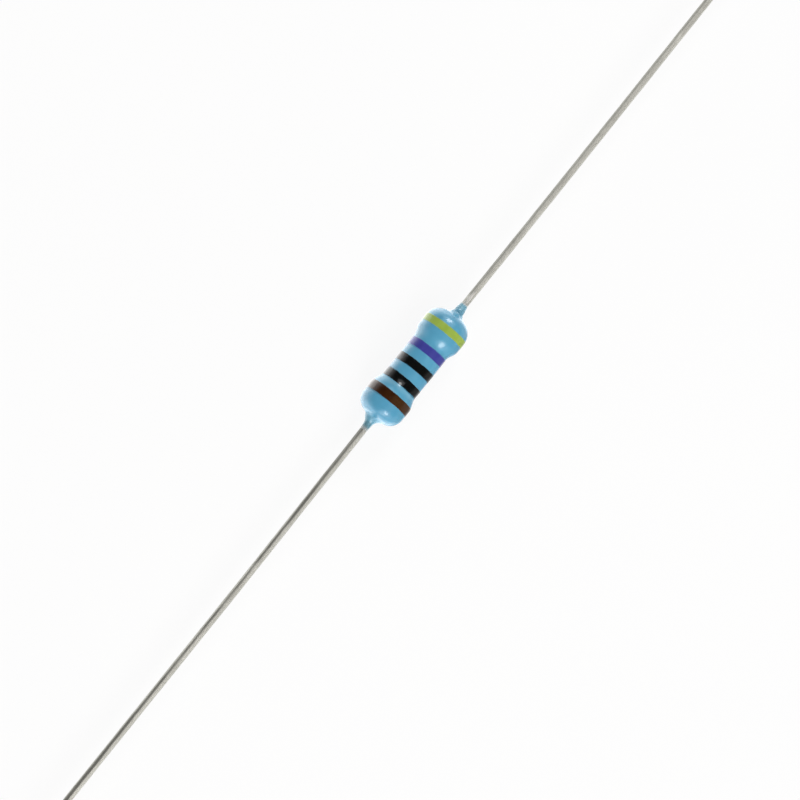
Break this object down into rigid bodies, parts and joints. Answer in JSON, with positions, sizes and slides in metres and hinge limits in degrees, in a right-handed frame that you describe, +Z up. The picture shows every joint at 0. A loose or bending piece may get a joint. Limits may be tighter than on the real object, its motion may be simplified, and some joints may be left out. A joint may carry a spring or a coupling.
{
  "type": "axial resistor",
  "caption": "Axial metal-film resistor: sky-blue lacquered dog-bone body with painted colour rings and straight tinned wire leads.",
  "frame": {"origin": "middle of the ceramic rod, on the axis of the leads", "axes": "+X along the leads in the direction the rings are read, towards the tolerance ring; +Z up"},
  "size_m": [0.0624, 0.0024, 0.0024],
  "materials": {
    "ceramic": "matte",
    "metal_film": "satin",
    "cap_metal": "satin",
    "tinned_wire": "satin",
    "blue_lacquer": "gloss",
    "yellow_paint": "gloss",
    "violet_paint": "gloss",
    "black_paint": "gloss",
    "brown_paint": "gloss"
  },
  "bodies": {
    "root": {"ceramic_core": "ceramic", "resistive_film": "metal_film", "left_end_cap": "cap_metal", "right_end_cap": "cap_metal", "left_lead": "tinned_wire", "right_lead": "tinned_wire", "lacquer_coat": "blue_lacquer", "first_digit_band": "yellow_paint", "second_digit_band": "violet_paint", "third_digit_band": "black_paint", "multiplier_band": "black_paint", "tolerance_band": "brown_paint"}
  },
  "joints": []
}
